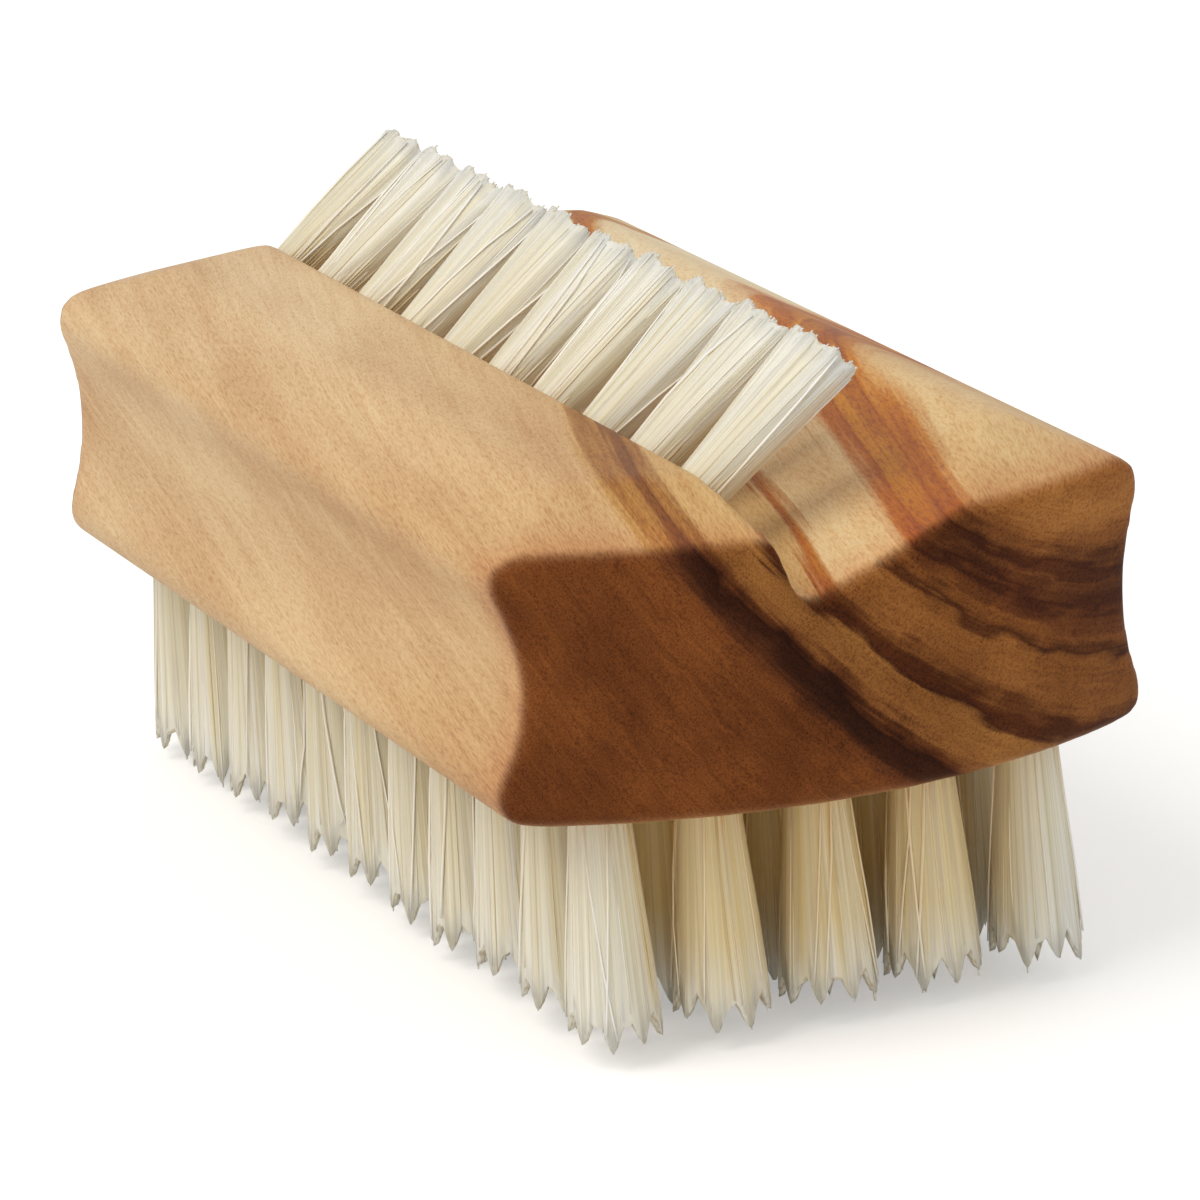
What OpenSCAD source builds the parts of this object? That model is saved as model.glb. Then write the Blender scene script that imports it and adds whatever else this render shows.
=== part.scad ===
// Two-sided nail brush: a turned and grooved olive wood block, a field of bristle
// tufts under it and one leaning row of tufts in the V groove along its top.
// +X runs along the block, +Z is up, and the lower bristle tips stand on z = 0.

/* [Block] */
// Length of the block, end to end
block_l = 95; // [92:1:115]
// Width of the block across its lips
block_w = 48; // [44:1:60]
// Height of the wood
block_h = 21.4; // [20.5:0.1:26]
// Radius of the lips above and below the finger grips
lip_r = 2; // [1.5:0.1:3]
// Height of the upper lip's centre over the underside
lip_z = 16.7; // [14.5:0.1:17]
// Depth of the finger grip along each side
grip_depth = 1.7; // [0.8:0.1:2.6]
// Radius where the top rounds down towards the sides
shoulder_r = 6; // [4:0.5:8]
// Distance from the block's side to the centre of that rounding
shoulder_inset = 8.5; // [8:0.5:11]

/* [Ends] */
// Height that the end bevel takes off the top of each end
bevel_drop = 2.85; // [1:0.05:4]
// Length of the end bevel, measured inwards
bevel_run = 9.2; // [5:0.1:11]
// Small break on the lower edge of each end
edge_break = 0.8; // [0.3:0.1:1.5]

/* [Top groove] */
// Depth of the V groove below the top
groove_depth = 7.35; // [6.5:0.05:8]
// Distance of the groove's bottom from the middle, towards the lit side
groove_y = 4.5; // [3:0.1:6]
// Tilt of the square-cut groove, which makes one wall steep and one gentle
groove_tilt = 21; // [18:1:24]

/* [Top row] */
// Number of tufts in the top row
top_count = 10; // [8:1:10]
// Distance of the row's last tuft from the block's near end
top_near_margin = 12.7; // [11:0.1:14]
// Distance of the row's first tuft from the block's far end
top_far_margin = 10.3; // [10:0.1:13]
// Gap between the tips of neighbouring top tufts
top_tip_gap = 0.5; // [0.4:0.1:1.5]
// Diameter of a top tuft hole
top_hole_d = 4; // [3.4:0.1:4.2]
// Depth of a top tuft hole
top_hole_depth = 8; // [6:0.1:8.5]
// Distance of a top hole's centre below the groove's rim, along the steep wall
top_hole_drop = 2.6; // [2.5:0.1:3]
// Rise of the top tufts from level
top_lean = 41; // [38:1:44]
// Free length of the top bristles
top_len = 13.6; // [10:0.1:18]
// How far the top tuft's root stands out of its hole
top_root_out = 0.6; // [0.4:0.1:1]

/* [Lower field] */
// Tufts along the block
field_columns = 11; // [9:1:11]
// Tufts across the block
field_rows = 5; // [3:1:5]
// Distance of the last tufts along the block from its ends
end_margin = 9; // [8.8:0.1:11]
// Distance of the outer rows from the block's sides
side_margin = 8; // [7:0.1:9]
// Gap between the tips of neighbouring lower tufts
field_tip_gap = 1; // [0.5:0.1:1.8]
// Diameter of a lower tuft hole
field_hole_d = 4.4; // [3.8:0.1:4.6]
// Depth of a lower tuft hole
field_hole_depth = 9; // [7:0.1:9.5]
// Free length of the lower bristles
field_len = 18; // [14:0.5:22]
// How far the lower tips are swept sideways, towards the near end
sweep_x = 0.5; // [0:0.1:1]
// How far the lower tips are swept sideways, towards the gentle wall's side
sweep_y = 0.5; // [0:0.1:1]

/* [Strands] */
// Strands in a lower tuft, one in its middle and the rest round it
field_strands = 7; // [5:1:7]
// Strands in a top tuft, one in its middle and the rest round it
top_strands = 9; // [6:1:9]
// Radius of a lower strand at its root, from its middle to its corners
field_strand_r = 0.6; // [0.4:0.05:0.65]
// Radius of a top strand at its root, from its middle to its corners
top_strand_r = 0.5; // [0.35:0.05:0.5]
// Radius of a lower strand at its tip, where it stands for a fanned clump of bristles
field_tip_strand_r = 0.75; // [0.5:0.05:0.8]
// Radius of a top strand at its tip, where it stands for a fanned clump of bristles
top_tip_strand_r = 0.6; // [0.5:0.05:0.6]
// Radius of the ring of strands at the tips of a top tuft, across the row
top_tip_y = 1.65; // [1.6:0.05:2]

/* [Anchors] */
// Thickness of the flat wire that holds a folded tuft in its hole
anchor_t = 0.35; // [0.25:0.05:0.5]
// Height of the flat wire along the hole
anchor_h = 1.8; // [1.4:0.1:2.2]
// How far each end of the wire bites into the wood
anchor_bite = 0.4; // [0.2:0.05:0.6]
// Distance of the wire from the bottom of the hole
anchor_rise = 1.4; // [1.2:0.1:2]

/* [Fits] */
// Gap round a tuft's root in its hole
root_gap = 0.05; // [0.02:0.01:0.1]
// Gap between a tuft's root and the bottom of its hole
floor_gap = 0.1; // [0.05:0.01:0.2]
// Gap round an anchor in the root and in the wood
anchor_gap = 0.04; // [0.02:0.01:0.08]

/* [Hidden] */
// One overrun for every cut, and the depth that a strand is sunk into its root
over = 1;
sink = 0.4;
// Turn of the anchors about their tufts
anchor_angle = 30;
// Turn from one tuft's ring of strands to the next
ring_step_angle = 37;
strand_sides = 4;
// Steps in each drawn arc of the outline
lip_steps = 8;
grip_steps = 10;
shoulder_steps = 4;
$fn = 96;

half_w = block_w / 2;
wood_z = field_len;

// The grip's arc is tangent to both lips
grip_half = (lip_z - lip_r) / 2;
grip_r = (grip_half * grip_half / grip_depth + grip_depth) / 2 - lip_r;
grip_angle = atan2(grip_half, grip_r + lip_r - grip_depth);

// A straight flank is tangent to the upper lip and to the shoulder
low_lip = [half_w - lip_r, lip_r];
high_lip = [half_w - lip_r, lip_z];
grip_c = [half_w - grip_depth + grip_r, lip_r + grip_half];
shoulder_c = [half_w - shoulder_inset, block_h - shoulder_r];
flank = high_lip - shoulder_c;
flank_angle = atan2(flank.y, flank.x) + acos((shoulder_r - lip_r) / norm(flank));

// The place and size of the V groove and of its steep wall
groove_bottom = [-groove_y, block_h - groove_depth];
wall_len = groove_depth / cos(groove_tilt);
hole_up = wall_len - top_hole_drop;
top_mouth = groove_bottom + hole_up * [-sin(groove_tilt), cos(groove_tilt)];

// Places of the tufts, at even steps between the margins
function even_steps(low, high, count) =
    [for (i = [0 : count - 1]) low + (high - low) * i / (count - 1)];
last_x = block_l / 2 - end_margin;
last_y = half_w - side_margin;
top_xs = even_steps(top_far_margin - block_l / 2, block_l / 2 - top_near_margin, top_count);
field_xs = even_steps(-last_x, last_x, field_columns);
field_ys = even_steps(-last_y, last_y, field_rows);

// Rings of strands at the tips, which leave the named gap to the next tuft
field_pitch = min(field_xs[1] - field_xs[0], field_ys[1] - field_ys[0]);
field_tip_r = (field_pitch - field_tip_gap) / 2 - field_tip_strand_r;
top_tip_x = (top_xs[1] - top_xs[0] - top_tip_gap) / 2 - top_tip_strand_r;

// Names such as top_tuft_01
function two_digits(i) = str(i < 9 ? "0" : "", i + 1);
top_names = [for (i = [0 : top_count - 1]) str("top_tuft_", two_digits(i))];
left_names = [for (i = [0 : field_columns - 1]) str("left_tuft_", two_digits(i))];
right_names = [for (i = [0 : field_columns - 1]) str("right_tuft_", two_digits(i))];
inner_names = [for (i = [0 : field_columns - 1]) str("inner_tufts_", two_digits(i))];
tuft_names = concat(top_names, left_names, right_names, inner_names);

// Points of an arc about c, from angle a to angle b
function arc(c, r, a, b, steps) =
    [for (i = [0 : steps]) let (t = a + (b - a) * i / steps) c + r * [cos(t), sin(t)]];

half_outline = concat(
    arc(low_lip, lip_r, -90, grip_angle, lip_steps),
    arc(grip_c, grip_r, 180 + grip_angle, 180 - grip_angle, grip_steps),
    arc(high_lip, lip_r, -grip_angle, flank_angle, lip_steps),
    arc(shoulder_c, shoulder_r, flank_angle, 90, shoulder_steps)
);

// The same points for the other half, in the opposite order
function mirrored(points) = [for (i = [len(points) - 1 : -1 : 0]) [-points[i].x, points[i].y]];

// Section of the block across its length, with the groove cut
module block_section() {
    difference() {
        polygon(concat(half_outline, mirrored(half_outline)));
        translate(groove_bottom) rotate(groove_tilt) square(block_w);
    }
}

// The two ends are one turned shape: a drum with a conical bevel above
module turned_ends() {
    end_r = block_l / 2;
    bevel_z = block_h - bevel_drop;
    cylinder(h = edge_break, r1 = end_r - edge_break, r2 = end_r);
    translate([0, 0, edge_break]) cylinder(h = bevel_z - edge_break, r = end_r);
    translate([0, 0, bevel_z]) cylinder(h = bevel_drop, r1 = end_r, r2 = end_r - bevel_run);
}

// Frame of a top tuft: its mouth at the origin and its bristles along +Z
module at_top(x) {
    translate([x, top_mouth.x, wood_z + top_mouth.y]) rotate([top_lean - 90, 0, 0]) children();
}

// Frame of a lower tuft: its mouth at the origin and its bristles along +Z
module at_field(x, y) {
    translate([x, y, wood_z]) mirror([0, 0, 1]) children();
}

// Slot or plate of flat wire across a hole of diameter d and depth h, with a gap round it
module flat_wire(d, h, gap) {
    long = d + 2 * anchor_bite + 2 * gap;
    thick = anchor_t + 2 * gap;
    high = anchor_h + 2 * gap;
    translate([0, 0, anchor_rise + anchor_h / 2 - h])
        rotate(anchor_angle)
            cube([long, thick, high], center = true);
}

// Blind hole with the two cuts that its anchor presses into the wood
module tuft_hole(d, h) {
    translate([0, 0, -h]) cylinder(h = h + over, d = d);
    flat_wire(d, h, anchor_gap);
}

// Root of a folded tuft, which fills the hole, with a slot where the anchor passes
module tuft_root(d, h, out) {
    difference() {
        translate([0, 0, floor_gap - h]) cylinder(h = h + out - floor_gap, d = d - 2 * root_gap);
        flat_wire(d, h, anchor_gap);
    }
}

// One strand, from centre a to centre b, as a prism with triangle faces
function ring(c, r) =
    [for (i = [0 : strand_sides - 1]) let (t = 360 * i / strand_sides) c + r * [cos(t), sin(t), 0]];

strand_faces = concat(
    [for (i = [1 : strand_sides - 2]) [0, i, i + 1]],
    [for (i = [1 : strand_sides - 2]) [strand_sides, strand_sides + i + 1, strand_sides + i]],
    [for (i = [0 : strand_sides - 1]) [i, strand_sides + i, (i + 1) % strand_sides]],
    [for (i = [0 : strand_sides - 1])
        [(i + 1) % strand_sides, strand_sides + i, strand_sides + (i + 1) % strand_sides]]
);

module strand(a, b, root_r, tip_r) {
    polyhedron(points = concat(ring(a, root_r), ring(b, tip_r)), faces = strand_faces);
}

// Strands with radii root_r and tip_r that start inside a root of diameter d and
// fan out to an oval of tips, moved sideways by sweep
module strand_fan(count, root_r, tip_r, d, out, tip, sweep, length, first_angle) {
    base_r = d / 2 - 2 * root_gap - root_r;
    base_z = out - sink;
    strand([0, 0, base_z], [sweep.x, sweep.y, length], root_r, tip_r);
    for (i = [1 : count - 1]) {
        t = first_angle + 360 * i / (count - 1);
        strand(
            [base_r * cos(t), base_r * sin(t), base_z],
            [sweep.x + tip.x * cos(t), sweep.y + tip.y * sin(t), length],
            root_r,
            tip_r
        );
    }
}

module wood_block() {
    color([0.83, 0.66, 0.43])
        difference() {
            translate([0, 0, wood_z])
                intersection() {
                    translate([-block_l / 2, 0, 0])
                        rotate([90, 0, 90]) linear_extrude(block_l) block_section();
                    turned_ends();
                }
            for (x = top_xs) at_top(x) tuft_hole(top_hole_d, top_hole_depth);
            for (x = field_xs, y = field_ys) at_field(x, y) tuft_hole(field_hole_d, field_hole_depth);
        }
}

module top_tuft(i) {
    color([0.9, 0.88, 0.8])
        at_top(top_xs[i]) {
            tuft_root(top_hole_d, top_hole_depth, top_root_out);
            strand_fan(
                top_strands, top_strand_r, top_tip_strand_r, top_hole_d, top_root_out,
                [top_tip_x, top_tip_y], [0, 0], top_len, ring_step_angle * i
            );
        }
}

// Tuft of the lower field in column i and row j
module lower_tuft(i, j) {
    color([0.87, 0.85, 0.74])
        at_field(field_xs[i], field_ys[j]) {
            tuft_root(field_hole_d, field_hole_depth, 0);
            strand_fan(
                field_strands, field_strand_r, field_tip_strand_r, field_hole_d, 0,
                [field_tip_r, field_tip_r], [sweep_x, sweep_y],
                field_len, ring_step_angle * (i + j)
            );
        }
}

// The tufts of column i between the two outer rows
module inner_tufts(i) {
    for (j = [1 : field_rows - 2]) lower_tuft(i, j);
}

module top_anchors() {
    color([0.75, 0.7, 0.55])
        for (x = top_xs) at_top(x) flat_wire(top_hole_d, top_hole_depth, 0);
}

module lower_anchors() {
    color([0.75, 0.7, 0.55])
        for (x = field_xs, y = field_ys) at_field(x, y) flat_wire(field_hole_d, field_hole_depth, 0);
}

wood_block();
for (i = [0 : top_count - 1]) {
    top_tuft(i);
}
for (i = [0 : field_columns - 1]) {
    lower_tuft(i, 0);
    lower_tuft(i, field_rows - 1);
    inner_tufts(i);
}
top_anchors();
lower_anchors();
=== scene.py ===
# %% [markdown]
# # A two-sided nail brush of olive wood
#
# The real brush is one block of oiled olive wood. Folded tufts of natural
# bristle are pulled into drilled holes: a field of them below, and one leaning
# row in a V groove on top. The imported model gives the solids, and they are the
# frame that every visible piece is set to. The block and the tufts are made
# again here with more detail, and each one stands exactly where its solid is.

import math
import random

import bmesh
import bpy
from mathutils import Matrix, Vector


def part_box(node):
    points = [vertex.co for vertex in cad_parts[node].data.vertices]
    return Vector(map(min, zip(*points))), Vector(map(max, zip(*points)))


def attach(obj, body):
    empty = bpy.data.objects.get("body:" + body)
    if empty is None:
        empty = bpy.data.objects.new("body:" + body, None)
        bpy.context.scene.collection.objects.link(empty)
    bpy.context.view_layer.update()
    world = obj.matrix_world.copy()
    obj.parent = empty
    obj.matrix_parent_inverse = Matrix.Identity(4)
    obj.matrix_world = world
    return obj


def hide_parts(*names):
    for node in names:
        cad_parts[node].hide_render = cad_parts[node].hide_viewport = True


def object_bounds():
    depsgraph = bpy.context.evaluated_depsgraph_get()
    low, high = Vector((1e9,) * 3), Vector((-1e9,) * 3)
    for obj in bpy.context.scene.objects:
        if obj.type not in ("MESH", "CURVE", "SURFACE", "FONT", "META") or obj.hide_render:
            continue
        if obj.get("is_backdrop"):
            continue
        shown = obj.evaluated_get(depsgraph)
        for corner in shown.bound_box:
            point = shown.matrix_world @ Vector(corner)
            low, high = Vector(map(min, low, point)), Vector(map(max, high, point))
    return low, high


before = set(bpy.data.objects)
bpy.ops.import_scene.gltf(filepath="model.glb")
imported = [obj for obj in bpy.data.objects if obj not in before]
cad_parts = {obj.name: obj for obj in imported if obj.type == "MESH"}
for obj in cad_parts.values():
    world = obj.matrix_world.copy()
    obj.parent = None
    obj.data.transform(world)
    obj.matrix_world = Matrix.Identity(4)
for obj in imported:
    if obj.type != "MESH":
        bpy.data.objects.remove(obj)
cad_low, cad_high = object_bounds()
MM = 0.001
print("nodes:", len(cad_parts))
print("box in mm:", [round(v / MM, 1) for v in (*cad_low, *cad_high)])

# %% [markdown]
# ## Camera
#
# A long lens from a low three-quarter angle keeps the block's edges nearly
# parallel, as in a catalogue picture. A camera that is set by eye seldom gets
# both the near corners and the far end right, so its place, direction and small
# roll were solved from the block's own outline in the picture.

# %% Camera
block_low, block_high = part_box("wood_block")
WOOD_Z = block_low.z

CAMERA_PLACE = Vector((434.07, -190.89, 144.86)) * MM + Vector((0, 0, WOOD_Z))
VIEW_AZIMUTH = math.radians(66.06)
VIEW_ELEVATION = math.radians(16.82)
VIEW_ROLL = math.radians(-2.28)
LENS = 205.5

camera = bpy.data.objects.new("camera", bpy.data.cameras.new("camera"))
bpy.context.scene.collection.objects.link(camera)
bpy.context.scene.camera = camera
camera.data.lens = LENS
camera.data.clip_start = 0.02
camera.data.clip_end = 50
camera.matrix_world = (
    Matrix.Translation(CAMERA_PLACE)
    @ Matrix.Rotation(VIEW_AZIMUTH, 4, "Z")
    @ Matrix.Rotation(math.pi / 2 - VIEW_ELEVATION, 4, "X")
    @ Matrix.Rotation(VIEW_ROLL, 4, "Z")
)
print("camera at", [round(v, 4) for v in camera.matrix_world.translation])

# %% [markdown]
# ## Helpers for materials
#
# Colours are written as sRGB hex, as a paint program shows them, and one
# function turns them to the linear values that the renderer works in. Another
# adds one node with its settings and its links.


# %% Colour and node helpers
def linear(hex_colour):
    """An sRGB hex colour as linear red, green, blue and alpha."""
    parts = [int(hex_colour[i : i + 2], 16) / 255 for i in (1, 3, 5)]
    return [c / 12.92 if c <= 0.04045 else ((c + 0.055) / 1.055) ** 2.4 for c in parts] + [1.0]


def new_material(name):
    """A material with an empty node tree, and that tree with its output node."""
    material = bpy.data.materials.new(name)
    material.use_nodes = True
    material.node_tree.nodes.clear()
    output = material.node_tree.nodes.new("ShaderNodeOutputMaterial")
    return material, material.node_tree, output


def add_node(tree, kind, settings=None, stops=None, **inputs):
    """Adds one node. settings are its own properties, and stops the places and
    hex colours of a ramp. Each input, by name or number, takes a value, a
    socket, or another node, whose first live output is used."""
    node = tree.nodes.new("ShaderNode" + kind)
    for key, value in (settings or {}).items():
        setattr(node, key, value)
    if stops:
        elements = node.color_ramp.elements
        elements.remove(elements[-1])
        elements[0].position = stops[0][0]
        elements[0].color = linear(stops[0][1])
        for place, colour in stops[1:]:
            elements.new(place).color = linear(colour)
    for key, value in inputs.items():
        socket = node.inputs[int(key[1:]) if key[1:].isdigit() else key.replace("_", " ")]
        if isinstance(value, bpy.types.Node):
            value = next(out for out in value.outputs if out.enabled)
        if isinstance(value, bpy.types.NodeSocket):
            tree.links.new(value, socket)
        else:
            socket.default_value = value
    return node


print("white is", linear("#FFFFFF"))

# %% [markdown]
# ## Floor, background and light
#
# The floor is a plain pale sheet. Only the camera sees a little extra white on
# it and in the world, so the background is white without more light on the
# brush, and the floor still keeps the brush's shadow. A broad lamp stands high
# on the brush's grip side, so that side and the top are lit and the near end
# is in shade, as in a picture taken beside a window. A picture of a whole room
# could light the brush too, but one lamp is easier to move until the shades
# agree.

# %% Floor
FLOOR_SIZE = 6.0
FLOOR_GLOW = 0.36

bm = bmesh.new()
bmesh.ops.create_grid(bm, x_segments=1, y_segments=1, size=FLOOR_SIZE / 2)
floor_mesh = bpy.data.meshes.new("floor")
bm.to_mesh(floor_mesh)
bm.free()
floor = bpy.data.objects.new("floor", floor_mesh)
bpy.context.scene.collection.objects.link(floor)
floor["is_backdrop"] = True

# Matt white paper: even and without gloss, so nothing but the shadow shows on it
paper, tree, output = new_material("matt_white_paper")
path = add_node(tree, "LightPath")
matt = add_node(tree, "BsdfDiffuse", Color=linear("#EDEDEB"))
glow = add_node(tree, "Emission", Color=linear("#FFFFFF"), Strength=FLOOR_GLOW)
both = add_node(tree, "AddShader", _0=matt, _1=glow)
seen = add_node(tree, "MixShader", Fac=path.outputs["Is Camera Ray"], _1=matt, _2=both)
tree.links.new(seen.outputs[0], output.inputs["Surface"])
floor_mesh.materials.append(paper)
print("floor of", FLOOR_SIZE, "m")

# %% World
WORLD_LIGHT = 0.72

world = bpy.data.worlds.new("studio")
bpy.context.scene.world = world
world.use_nodes = True
tree = world.node_tree
tree.nodes.clear()
output = add_node(tree, "OutputWorld")
path = add_node(tree, "LightPath")
soft = add_node(tree, "Background", Color=linear("#F6F7FA"), Strength=WORLD_LIGHT)
white = add_node(tree, "Background", Color=linear("#FFFFFF"), Strength=1.0)
direct = add_node(
    tree,
    "Math",
    {"operation": "MAXIMUM"},
    _0=path.outputs["Is Camera Ray"],
    _1=path.outputs["Is Transmission Ray"],
)
seen = add_node(tree, "MixShader", Fac=direct, _1=soft, _2=white)
tree.links.new(seen.outputs[0], output.inputs["Surface"])
bpy.context.scene.view_settings.view_transform = "Standard"
print("world light", WORLD_LIGHT)


# %% Lamps
def add_lamp(name, direction, distance, size, power, colour):
    """A square lamp that shines at the brush from the given direction."""
    lamp = bpy.data.lights.new(name, "AREA")
    lamp.size = size
    lamp.energy = power
    lamp.color = linear(colour)[:3]
    obj = bpy.data.objects.new(name, lamp)
    bpy.context.scene.collection.objects.link(obj)
    aim = Vector(direction).normalized()
    target = Vector((0, 0, block_high.z / 2))
    turn = aim.to_track_quat("Z", "Y").to_matrix().to_4x4()
    obj.matrix_world = Matrix.Translation(target + aim * distance) @ turn
    return obj


add_lamp(
    name="window_light",
    direction=(0.12, -0.60, 0.79),
    distance=0.9,
    size=0.6,
    power=3.6,
    colour="#FFF9F0",
)

# %% [markdown]
# ## Measures
#
# The block's box is read from the frame. What the box can't say, such as the
# radius of a lip or the tilt of the groove, is given here by name, with the
# same values as the solids, so that both follow one design.

# %% Measures of the block
END_R = block_high.x
HALF_W = block_high.y
TOP_Z = block_high.z
HEIGHT = TOP_Z - WOOD_Z

LIP_R = 2.0 * MM
LIP_Z = 16.7 * MM
GRIP_DEPTH = 1.7 * MM
SHOULDER_R = 6.0 * MM
SHOULDER_INSET = 8.5 * MM
BEVEL_DROP = 2.85 * MM
BEVEL_RUN = 9.2 * MM
EDGE_BREAK = 0.8 * MM
GROOVE_DEPTH = 7.35 * MM
GROOVE_Y = 4.5 * MM
GROOVE_TILT = math.radians(21)
print("block in mm:", [round(v / MM, 2) for v in (2 * END_R, 2 * HALF_W, HEIGHT)])

# %% Measures of the tufts
TOP_COUNT = 10
TOP_NEAR_MARGIN = 12.7 * MM
TOP_FAR_MARGIN = 10.3 * MM
TOP_HOLE_R = 2.0 * MM
TOP_HOLE_DEPTH = 8.0 * MM
TOP_HOLE_DROP = 2.6 * MM
TOP_LEAN = math.radians(41)
TOP_LENGTH = 13.6 * MM
TOP_TIP = (3.75 * MM, 2.25 * MM)

FIELD_COLUMNS = 11
FIELD_ROWS = 5
END_MARGIN = 9.0 * MM
SIDE_MARGIN = 8.0 * MM
FIELD_HOLE_R = 2.2 * MM
FIELD_HOLE_DEPTH = 9.0 * MM
FIELD_TIP_X = 3.75 * MM
FIELD_TIP_Y = 3.4 * MM
INNER_TIP_Y = 3.65 * MM
SWEEP_X = 0.5 * MM
SWEEP_Y = 0.5 * MM
RING_STEP = math.radians(37)


def even_steps(low, high, count):
    """count numbers from low to high at even steps."""
    return [low + (high - low) * i / (count - 1) for i in range(count)]


top_xs = even_steps(TOP_FAR_MARGIN - END_R, END_R - TOP_NEAR_MARGIN, TOP_COUNT)
field_xs = even_steps(END_MARGIN - END_R, END_R - END_MARGIN, FIELD_COLUMNS)
field_ys = even_steps(SIDE_MARGIN - HALF_W, HALF_W - SIDE_MARGIN, FIELD_ROWS)
print("pitches in mm:", [round((v[1] - v[0]) / MM, 2) for v in (top_xs, field_xs, field_ys)])

# %% [markdown]
# ## The wood block
#
# On the real brush a moulder runs the long profile: two round lips with a
# shallow finger grip between them, sloping shoulders, and the V groove. The
# ends are then turned round and bevelled, everything is sanded soft, and the
# holes are drilled last.
#
# The mesh is made in the same order. Spinning one vertex draws each arc of
# the profile, which is mirrored, filled and extruded. A turned drum with a
# bevel cuts the ends. The Bevel tool can't round edges that run through a
# row of narrow faces, so a voxel remesh gives even faces and a smoothing pass
# wears them all down, as sandpaper does. The drilled rims stay crisp.


# %% Draw half of the profile
def draw_arc(bm, vert, centre, angle, steps):
    """Swings a copy of a vertex round a centre, and gives the last one."""
    swung = bmesh.ops.spin(
        bm, geom=[vert], cent=(-END_R, *centre), axis=(1, 0, 0), angle=angle, steps=steps
    )
    return next(v for v in swung["geom_last"] if isinstance(v, bmesh.types.BMVert))


grip_half = (LIP_Z - LIP_R) / 2
grip_r = (grip_half**2 / GRIP_DEPTH + GRIP_DEPTH) / 2 - LIP_R
grip_angle = math.atan2(grip_half, grip_r + LIP_R - GRIP_DEPTH)
low_lip = Vector((HALF_W - LIP_R, WOOD_Z + LIP_R))
high_lip = Vector((HALF_W - LIP_R, WOOD_Z + LIP_Z))
grip_centre = Vector((HALF_W - GRIP_DEPTH + grip_r, WOOD_Z + LIP_R + grip_half))
shoulder = Vector((HALF_W - SHOULDER_INSET, TOP_Z - SHOULDER_R))
flank = high_lip - shoulder
flank_angle = math.atan2(flank.y, flank.x) + math.acos((SHOULDER_R - LIP_R) / flank.length)

bm = bmesh.new()
underside = bm.verts.new((-END_R, low_lip.x, WOOD_Z))
pen = draw_arc(bm, underside, low_lip, math.pi / 2 + grip_angle, steps=16)
pen = draw_arc(bm, pen, grip_centre, -2 * grip_angle, steps=16)
pen = draw_arc(bm, pen, high_lip, grip_angle + flank_angle, steps=12)
pen = bmesh.ops.extrude_vert_indiv(bm, verts=[pen])["verts"][0]
pen.co.yz = shoulder + SHOULDER_R * Vector((math.cos(flank_angle), math.sin(flank_angle)))
pen = draw_arc(bm, pen, shoulder, math.pi / 2 - flank_angle, steps=10)
print("points of half the profile:", len(bm.verts))

# %% Mirror, groove, fill and extrude it
half = bm.verts[:] + bm.edges[:]
bmesh.ops.mirror(bm, geom=half, merge_dist=-1, axis="Y")
low_pair = sorted((v for v in bm.verts if abs(v.co.z - WOOD_Z) < 1e-6), key=lambda v: v.co.y)
top_pair = sorted((v for v in bm.verts if abs(v.co.z - TOP_Z) < 1e-6), key=lambda v: v.co.y)
bm.edges.new((low_pair[0], low_pair[-1]))
steep_rim = bm.verts.new((-END_R, -GROOVE_Y - GROOVE_DEPTH * math.tan(GROOVE_TILT), TOP_Z))
valley = bm.verts.new((-END_R, -GROOVE_Y, TOP_Z - GROOVE_DEPTH))
gentle_rim = bm.verts.new((-END_R, -GROOVE_Y + GROOVE_DEPTH / math.tan(GROOVE_TILT), TOP_Z))
for a, b in (
    (top_pair[0], steep_rim),
    (steep_rim, valley),
    (valley, gentle_rim),
    (gentle_rim, top_pair[-1]),
):
    bm.edges.new((a, b))
bmesh.ops.edgeloop_fill(bm, edges=bm.edges[:])
moved = bmesh.ops.extrude_face_region(bm, geom=bm.faces[:])
far_verts = [v for v in moved["geom"] if isinstance(v, bmesh.types.BMVert)]
bmesh.ops.translate(bm, vec=(2 * END_R, 0, 0), verts=far_verts)
bmesh.ops.recalc_face_normals(bm, faces=bm.faces[:])
print("moulding faces:", len(bm.faces))


# %% Piece and carving helpers
def add_piece(name, bm):
    """Turns a bmesh into an object with smooth shading."""
    mesh = bpy.data.meshes.new(name)
    bm.to_mesh(mesh)
    bm.free()
    mesh.shade_smooth()
    obj = bpy.data.objects.new(name, mesh)
    bpy.context.scene.collection.objects.link(obj)
    return obj


def apply_modifiers(obj):
    """Makes what an object's modifiers show its own mesh."""
    evaluated = obj.evaluated_get(bpy.context.evaluated_depsgraph_get())
    result = bpy.data.meshes.new_from_object(evaluated)
    obj.modifiers.clear()
    obj.data = result


def carve(obj, cutter, operation):
    """Cuts obj by the cutter, or keeps what they share, and drops the cutter."""
    modifier = obj.modifiers.new("carve", "BOOLEAN")
    modifier.operation = operation
    modifier.solver = "MANIFOLD"
    modifier.object = cutter
    apply_modifiers(obj)
    bpy.data.meshes.remove(cutter.data)


block = add_piece("olive_block", bm)
print("piece:", block.name)

# %% Turn the ends
# A cutter reaches this far over what it cuts
OVER = 1.0 * MM
DRUM_STEPS = 220

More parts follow.
